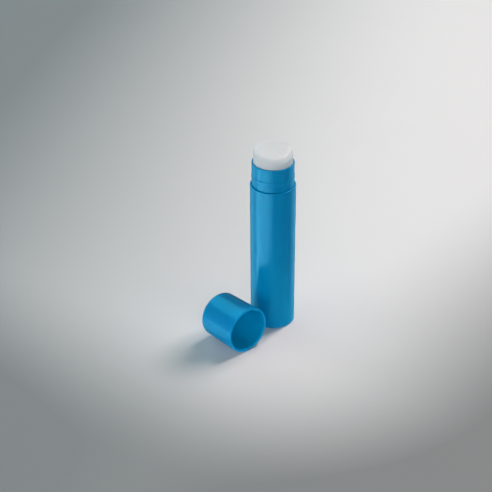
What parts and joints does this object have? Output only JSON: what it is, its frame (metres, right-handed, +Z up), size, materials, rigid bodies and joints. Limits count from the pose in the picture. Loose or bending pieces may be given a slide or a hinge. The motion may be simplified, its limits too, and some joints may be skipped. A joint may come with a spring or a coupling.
{
  "type": "lip balm stick",
  "caption": "Lip balm stick: a smooth round twist-up tube standing on its foot with rounded white balm showing above the neck, and its push-on cap lying beside it.",
  "frame": {"origin": "centre of the barrel's flat foot, on the surface that the stick stands on", "axes": "+Z up along the barrel; -Y is the way the lying cap's mouth faces, and the cap lies on the -X side of the barrel"},
  "size_m": [0.0372, 0.0185, 0.0691],
  "materials": {
    "case_blue": "satin moulded polypropylene",
    "balm_white": "waxy, slightly translucent",
    "works_white": "natural moulded polyethylene"
  },
  "bodies": {
    "barrel": {"barrel": "case_blue", "spindle": "works_white"},
    "inner_tube": {"inner_tube": "case_blue"},
    "elevator": {"elevator": "works_white", "balm": "balm_white"},
    "cap": {"cap": "case_blue"}
  },
  "joints": [
    {"name": "tube_twist", "type": "hinge", "parent": "barrel", "child": "inner_tube", "pos_m": [0, 0, 0], "axis": [0, 0, 1], "range_deg": [-374.4, 3204]},
    {"name": "elevator_rise", "type": "slide", "parent": "inner_tube", "child": "elevator", "axis": [0, 0, 1], "range_m": [-0.0052, 0.0445]},
    {"name": "cap_slide", "type": "slide", "parent": "barrel", "child": "cap", "axis": [0, 1, 0], "range_m": [0, 0.02]}
  ],
  "couplings": [
    {"joint": "elevator_rise", "follows": "tube_twist", "m_per_rad": 0.00079577}
  ]
}
